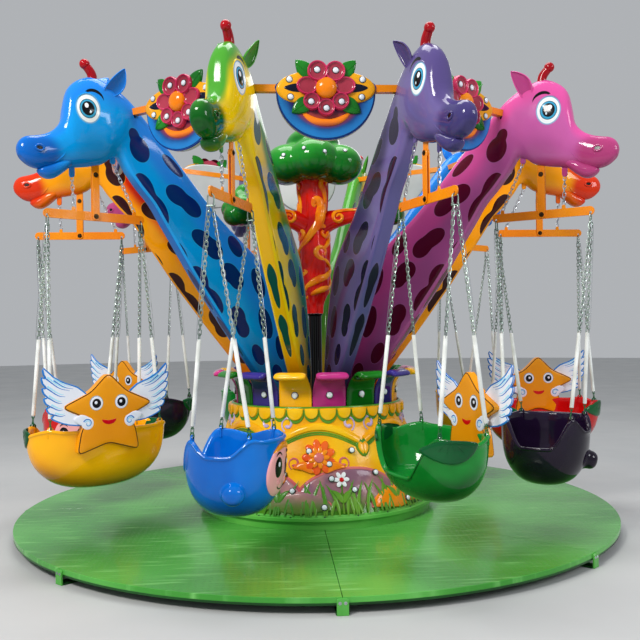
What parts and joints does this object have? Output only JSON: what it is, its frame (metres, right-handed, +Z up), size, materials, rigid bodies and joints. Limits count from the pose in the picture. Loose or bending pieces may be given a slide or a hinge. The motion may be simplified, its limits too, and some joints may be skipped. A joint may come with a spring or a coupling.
{
  "type": "chair swing ride",
  "caption": "Children's chair swing ride: a round platform and drum carry a turning tree, giraffe-neck arms and a flower ring, with tub chairs on chains.",
  "frame": {"origin": "centre of the platform on the floor under the feet, on the axis of the turntable", "axes": "+Z up along the turning axis, -Y towards the front, +X to the right seen from the front"},
  "size_m": [4.452, 4.34, 3.082],
  "materials": {
    "platform": "glossy green paint",
    "drum": "glossy painted glass-fibre shell",
    "crown": "glossy painted glass-fibre petals in several colours",
    "turntable": "satin dark paint",
    "pole": "glossy black paint",
    "trunk": "glossy painted glass-fibre shell",
    "foliage": "glossy painted glass-fibre shell",
    "ring": "glossy paint with moulded flowers",
    "hanger": "glossy orange paint",
    "chain": "zinc-plated chain in clear sleeves",
    "giraffe_purple": "glossy painted glass-fibre shell",
    "giraffe_magenta": "glossy painted glass-fibre shell",
    "giraffe_orange": "glossy painted glass-fibre shell",
    "giraffe_blue": "glossy painted glass-fibre shell",
    "giraffe_green": "glossy painted glass-fibre shell, yellow and green",
    "seat_red": "glossy moulded tub",
    "seat_yellow": "glossy moulded tub",
    "seat_blue": "glossy moulded tub",
    "seat_green": "glossy moulded tub",
    "seat_aubergine": "glossy moulded tub"
  },
  "bodies": {
    "base": {"platform": "platform", "drum": "drum", "crown": "crown"},
    "rotor": {"turntable": "turntable", "pole": "pole", "trunk": "trunk", "leaves_left": "foliage", "leaves_right": "foliage", "leaves_top": "foliage", "flower_ring": "ring", "giraffe_01": "giraffe_purple", "giraffe_02": "giraffe_magenta", "giraffe_03": "giraffe_orange", "giraffe_04": "giraffe_blue", "giraffe_05": "giraffe_green", "giraffe_06": "giraffe_purple", "giraffe_07": "giraffe_magenta", "giraffe_08": "giraffe_orange", "giraffe_09": "giraffe_blue", "giraffe_10": "giraffe_green"},
    "hanger_body_01": {"hanger_01": "hanger"},
    "chair_01": {"chain_inner_01": "chain", "chain_outer_01": "chain", "seat_01": "seat_green"},
    "hanger_body_02": {"hanger_02": "hanger"},
    "chair_02": {"chain_inner_02": "chain", "chain_outer_02": "chain", "seat_02": "seat_aubergine"},
    "hanger_body_03": {"hanger_03": "hanger"},
    "chair_03": {"chain_inner_03": "chain", "chain_outer_03": "chain", "seat_03": "seat_red"},
    "hanger_body_04": {"hanger_04": "hanger"},
    "chair_04": {"chain_inner_04": "chain", "chain_outer_04": "chain", "seat_04": "seat_yellow"},
    "hanger_body_05": {"hanger_05": "hanger"},
    "chair_05": {"chain_inner_05": "chain", "chain_outer_05": "chain", "seat_05": "seat_blue"},
    "hanger_body_06": {"hanger_06": "hanger"},
    "chair_06": {"chain_inner_06": "chain", "chain_outer_06": "chain", "seat_06": "seat_green"},
    "hanger_body_07": {"hanger_07": "hanger"},
    "chair_07": {"chain_inner_07": "chain", "chain_outer_07": "chain", "seat_07": "seat_aubergine"},
    "hanger_body_08": {"hanger_08": "hanger"},
    "chair_08": {"chain_inner_08": "chain", "chain_outer_08": "chain", "seat_08": "seat_red"},
    "hanger_body_09": {"hanger_09": "hanger"},
    "chair_09": {"chain_inner_09": "chain", "chain_outer_09": "chain", "seat_09": "seat_yellow"},
    "hanger_body_10": {"hanger_10": "hanger"},
    "chair_10": {"chain_inner_10": "chain", "chain_outer_10": "chain", "seat_10": "seat_blue"}
  },
  "joints": [
    {"name": "rotor_turn", "type": "hinge", "parent": "base", "child": "rotor", "pos_m": [0, 0, 0.9], "axis": [0, 0, 1], "continuous": true},
    {"name": "hanger_swing_01", "type": "hinge", "parent": "rotor", "child": "hanger_body_01", "pos_m": [-0.54078, 1.66435, 2.38], "axis": [0.9511, 0.309, 0], "range_deg": [-5, 15]},
    {"name": "chair_swing_01", "type": "hinge", "parent": "hanger_body_01", "child": "chair_01", "pos_m": [-0.54078, 1.66435, 2.101], "axis": [-0.309, 0.9511, 0], "range_deg": [-8, 8]},
    {"name": "hanger_swing_02", "type": "hinge", "parent": "rotor", "child": "hanger_body_02", "pos_m": [-1.41578, 1.02862, 2.38], "axis": [0.5878, 0.809, 0], "range_deg": [-5, 15]},
    {"name": "chair_swing_02", "type": "hinge", "parent": "hanger_body_02", "child": "chair_02", "pos_m": [-1.41578, 1.02862, 2.101], "axis": [-0.809, 0.5878, 0], "range_deg": [-8, 8]},
    {"name": "hanger_swing_03", "type": "hinge", "parent": "rotor", "child": "hanger_body_03", "pos_m": [-1.75, 0, 2.38], "axis": [0, 1, 0], "range_deg": [-5, 15]},
    {"name": "chair_swing_03", "type": "hinge", "parent": "hanger_body_03", "child": "chair_03", "pos_m": [-1.75, 0, 2.101], "axis": [-1, 0, 0], "range_deg": [-8, 8]},
    {"name": "hanger_swing_04", "type": "hinge", "parent": "rotor", "child": "hanger_body_04", "pos_m": [-1.41578, -1.02862, 2.38], "axis": [-0.5878, 0.809, 0], "range_deg": [-5, 15]},
    {"name": "chair_swing_04", "type": "hinge", "parent": "hanger_body_04", "child": "chair_04", "pos_m": [-1.41578, -1.02862, 2.101], "axis": [-0.809, -0.5878, 0], "range_deg": [-8, 8]},
    {"name": "hanger_swing_05", "type": "hinge", "parent": "rotor", "child": "hanger_body_05", "pos_m": [-0.54078, -1.66435, 2.38], "axis": [-0.9511, 0.309, 0], "range_deg": [-5, 15]},
    {"name": "chair_swing_05", "type": "hinge", "parent": "hanger_body_05", "child": "chair_05", "pos_m": [-0.54078, -1.66435, 2.101], "axis": [-0.309, -0.9511, 0], "range_deg": [-8, 8]},
    {"name": "hanger_swing_06", "type": "hinge", "parent": "rotor", "child": "hanger_body_06", "pos_m": [0.54078, -1.66435, 2.38], "axis": [-0.9511, -0.309, 0], "range_deg": [-5, 15]},
    {"name": "chair_swing_06", "type": "hinge", "parent": "hanger_body_06", "child": "chair_06", "pos_m": [0.54078, -1.66435, 2.101], "axis": [0.309, -0.9511, 0], "range_deg": [-8, 8]},
    {"name": "hanger_swing_07", "type": "hinge", "parent": "rotor", "child": "hanger_body_07", "pos_m": [1.41578, -1.02862, 2.38], "axis": [-0.5878, -0.809, 0], "range_deg": [-5, 15]},
    {"name": "chair_swing_07", "type": "hinge", "parent": "hanger_body_07", "child": "chair_07", "pos_m": [1.41578, -1.02862, 2.101], "axis": [0.809, -0.5878, 0], "range_deg": [-8, 8]},
    {"name": "hanger_swing_08", "type": "hinge", "parent": "rotor", "child": "hanger_body_08", "pos_m": [1.75, 0, 2.38], "axis": [0, -1, 0], "range_deg": [-5, 15]},
    {"name": "chair_swing_08", "type": "hinge", "parent": "hanger_body_08", "child": "chair_08", "pos_m": [1.75, 0, 2.101], "axis": [1, 0, 0], "range_deg": [-8, 8]},
    {"name": "hanger_swing_09", "type": "hinge", "parent": "rotor", "child": "hanger_body_09", "pos_m": [1.41578, 1.02862, 2.38], "axis": [0.5878, -0.809, 0], "range_deg": [-5, 15]},
    {"name": "chair_swing_09", "type": "hinge", "parent": "hanger_body_09", "child": "chair_09", "pos_m": [1.41578, 1.02862, 2.101], "axis": [0.809, 0.5878, 0], "range_deg": [-8, 8]},
    {"name": "hanger_swing_10", "type": "hinge", "parent": "rotor", "child": "hanger_body_10", "pos_m": [0.54078, 1.66435, 2.38], "axis": [0.9511, -0.309, 0], "range_deg": [-5, 15]},
    {"name": "chair_swing_10", "type": "hinge", "parent": "hanger_body_10", "child": "chair_10", "pos_m": [0.54078, 1.66435, 2.101], "axis": [0.309, 0.9511, 0], "range_deg": [-8, 8]}
  ]
}
